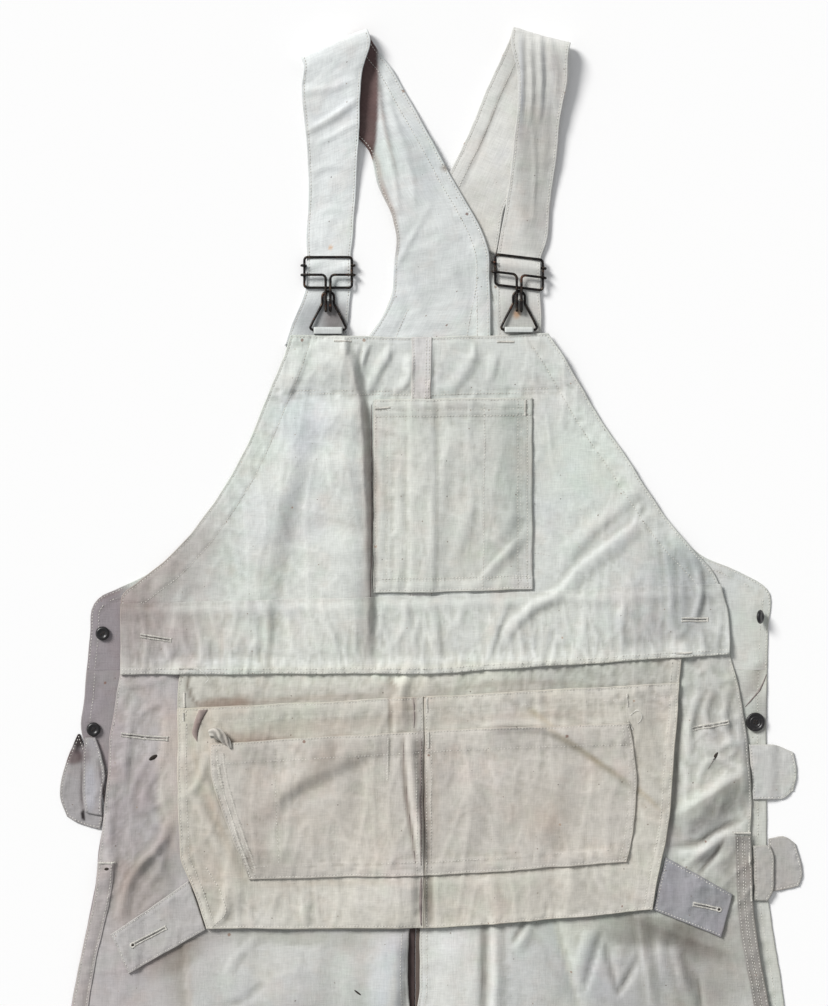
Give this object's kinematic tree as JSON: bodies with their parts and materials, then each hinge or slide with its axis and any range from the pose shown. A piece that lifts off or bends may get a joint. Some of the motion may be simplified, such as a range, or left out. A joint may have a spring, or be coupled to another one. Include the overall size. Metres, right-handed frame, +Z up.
{
  "type": "bib overalls",
  "caption": "Off-white canvas bib overalls with crossed straps, wire slide buckles, a bib pocket and a pocketed nail apron, laid flat with the front up.",
  "frame": {"origin": "centre of the whole garment's box, on the surface that it lies on", "axes": "+Y towards the shoulder straps, +X towards the right in a view of the front from above, +Z up out of the front"},
  "size_m": [0.7056, 1.7566, 0.0165],
  "materials": {
    "canvas": "off-white cotton drill, washed, with faint tints and a few specks",
    "wire_steel": "blackened steel wire, worn and browned where parts rub",
    "button_black": "dark, softly shining"
  },
  "bodies": {
    "root": {"front_leg_left": "canvas", "front_leg_right": "canvas", "back_leg_left": "canvas", "back_leg_right": "canvas", "back_bib": "canvas", "side_fell_left": "canvas", "side_fell_right": "canvas", "bib_left": "canvas", "bib_right": "canvas", "bib_centre_seam": "canvas", "bib_pocket": "canvas", "waistband": "canvas", "apron_base": "canvas", "apron_pocket_upper_left": "canvas", "apron_pocket_upper_right": "canvas", "apron_pocket_lower_left": "canvas", "apron_pocket_lower_right": "canvas", "apron_tab_left": "canvas", "apron_tab_right": "canvas", "side_loop_left": "canvas", "side_loop_right_upper": "canvas", "side_loop_right_lower": "canvas", "loop_carrier_left": "canvas", "loop_carrier_right": "canvas", "strap_left": "canvas", "strap_right": "canvas", "ring_tab_left": "canvas", "ring_tab_right": "canvas", "slide_frame_left": "wire_steel", "slide_bar_left": "wire_steel", "strap_hook_left": "wire_steel", "bib_ring_left": "wire_steel", "slide_frame_right": "wire_steel", "slide_bar_right": "wire_steel", "strap_hook_right": "wire_steel", "bib_ring_right": "wire_steel", "button_left_upper": "button_black", "button_left_lower": "button_black", "button_right_upper": "button_black", "button_right_lower": "button_black"}
  },
  "joints": []
}
